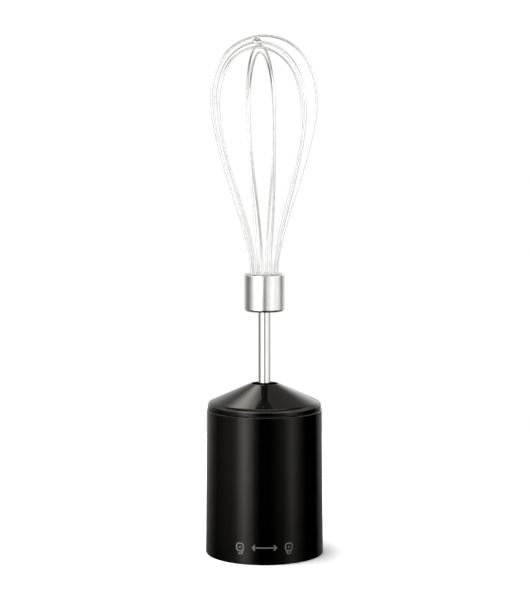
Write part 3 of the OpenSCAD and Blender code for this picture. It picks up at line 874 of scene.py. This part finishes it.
def mirrored_room(tree, way, part):
    """All that the shiny surfaces mirror, in one colour for each direction."""
    height = part.outputs["Z"]
    turn = heading_of(tree, part)
    pale = add(tree, "ShaderNodeCombineXYZ", {axis: PALE for axis in "XYZ"}).outputs["Vector"]
    open_front = wall(tree, turn, HIGH_STRENGTH, OPEN_FRONT)
    dark_front = wall(tree, turn, HIGH_STRENGTH, DARK_FRONT)
    high = add(
        tree,
        "ShaderNodeVectorMath",
        links={
            0: meet(tree, height, OPEN_TO_DARK, open_front, dark_front),
            1: lamp_glow(tree, way),
        },
        operation="ADD",
    )
    warm = add(
        tree,
        "ShaderNodeVectorMath",
        {1: HIGH_TINT},
        {0: high.outputs["Vector"]},
        operation="MULTIPLY",
    )
    above = meet(tree, height, DARK_TO_PALE, warm.outputs["Vector"], pale)
    far_table = wall(tree, turn, FAR_TABLE_STRENGTH, FAR_TABLE)
    room = wall(tree, turn, ROOM_STRENGTH, ROOM)
    middle = meet(tree, height, FAR_TABLE_TO_ROOM, far_table, room)
    middle = meet(tree, height, ROOM_TO_HIGH, middle, above)
    return meet(tree, height, PALE_TO_FAR_TABLE, pale, middle)


def studio_world():
    """The room round the table. Shiny surfaces mirror it, matt ones see a bright and a dim side,
    and the camera itself sees plain white."""
    world = bpy.data.worlds.new("studio")
    bpy.context.scene.world = world
    world.use_nodes = True
    tree = world.node_tree
    tree.nodes.clear()
    way = add(tree, "ShaderNodeTexCoord").outputs["Generated"]
    part = add(tree, "ShaderNodeSeparateXYZ", links={"Vector": way})
    mirrored = add(
        tree, "ShaderNodeBackground", {"Strength": 1.0}, {"Color": mirrored_room(tree, way, part)}
    )
    # The uneven sides give the short soft shadow to the right.
    side = add(
        tree,
        "ShaderNodeMapRange",
        {
            "From Min": -MATT_CHANGE,
            "From Max": MATT_CHANGE,
            "To Min": MATT_LEFT,
            "To Max": MATT_RIGHT,
        },
        {"Value": part.outputs["X"]},
        interpolation_type="SMOOTHSTEP",
    )
    matt = add(
        tree, "ShaderNodeBackground", {"Color": [1, 1, 1, 1]}, {"Strength": side.outputs["Result"]}
    )
    white = add(tree, "ShaderNodeBackground", {"Color": [1, 1, 1, 1], "Strength": 1.0})
    path = add(tree, "ShaderNodeLightPath")
    light = add(
        tree,
        "ShaderNodeMixShader",
        links={
            0: path.outputs["Is Glossy Ray"],
            1: matt.outputs["Background"],
            2: mirrored.outputs["Background"],
        },
    )
    seen = add(
        tree,
        "ShaderNodeMixShader",
        links={
            0: path.outputs["Is Camera Ray"],
            1: light.outputs["Shader"],
            2: white.outputs["Background"],
        },
    )
    add(tree, "ShaderNodeOutputWorld", links={"Surface": seen.outputs["Shader"]})


def striped_card():
    """Black card with soft strips of light: the gloss of the black unit mirrors them as tall
    highlights with near black between."""
    material = bpy.data.materials.new("dark_card_with_light_strips")
    material.use_nodes = True
    tree = material.node_tree
    tree.nodes.clear()
    place = add(tree, "ShaderNodeTexCoord").outputs["Object"]
    part = add(tree, "ShaderNodeSeparateXYZ", links={"Vector": place})
    share = add(
        tree,
        "ShaderNodeMapRange",
        {"From Min": -STRIPS_CHANGE, "From Max": STRIPS_CHANGE, "To Min": STRIPS_FOOT_SHARE},
        {"Value": part.outputs["Z"]},
        interpolation_type="SMOOTHSTEP",
    )
    strips = add(
        tree,
        "ShaderNodeVectorMath",
        links={
            0: wall(tree, heading_of(tree, part), STRIPS_STRENGTH, STRIPS),
            "Scale": share.outputs["Result"],
        },
        operation="SCALE",
    )
    warm = add(
        tree,
        "ShaderNodeVectorMath",
        {1: STRIPS_TINT},
        {0: strips.outputs["Vector"]},
        operation="MULTIPLY",
    )
    glow = add(tree, "ShaderNodeEmission", {"Strength": 1.0}, {"Color": warm.outputs["Vector"]})
    add(tree, "ShaderNodeOutputMaterial", links={"Surface": glow.outputs["Emission"]})
    return material


def shade_cards():
    """A ring of card round the black unit, open above and closed below, that only gloss mirrors."""
    bpy.ops.object.select_all(action="DESELECT")
    bpy.ops.mesh.primitive_cylinder_add(
        vertices=96, radius=CARD_RADIUS, depth=CARD_TOP - CARD_FOOT, end_fill_type="NGON"
    )
    ring = bpy.context.object
    ring.name = "shade_cards"
    for vertex in ring.data.vertices:
        vertex.co.z += (CARD_TOP + CARD_FOOT) / 2
    bpy.ops.object.mode_set(mode="EDIT")
    drop_faces(ring, lambda centre: centre.z > CARD_TOP - MM)
    bpy.ops.object.mode_set(mode="OBJECT")
    finish(ring, striped_card())
    ring.visible_camera = ring.visible_diffuse = ring.visible_shadow = False
    ring.visible_transmission = False


lay_table()
shade_cards()
studio_world()

bpy.ops.object.camera_add(location=CAMERA_PLACE)
camera = bpy.context.object
camera.data.sensor_fit = "VERTICAL"
camera.data.sensor_height = SENSOR_HEIGHT
camera.data.lens = LENS
camera.rotation_euler = (CAMERA_TARGET - CAMERA_PLACE).to_track_quat("-Z", "Y").to_euler()
scene = bpy.context.scene
scene.camera = camera
scene.view_settings.view_transform = "Standard"
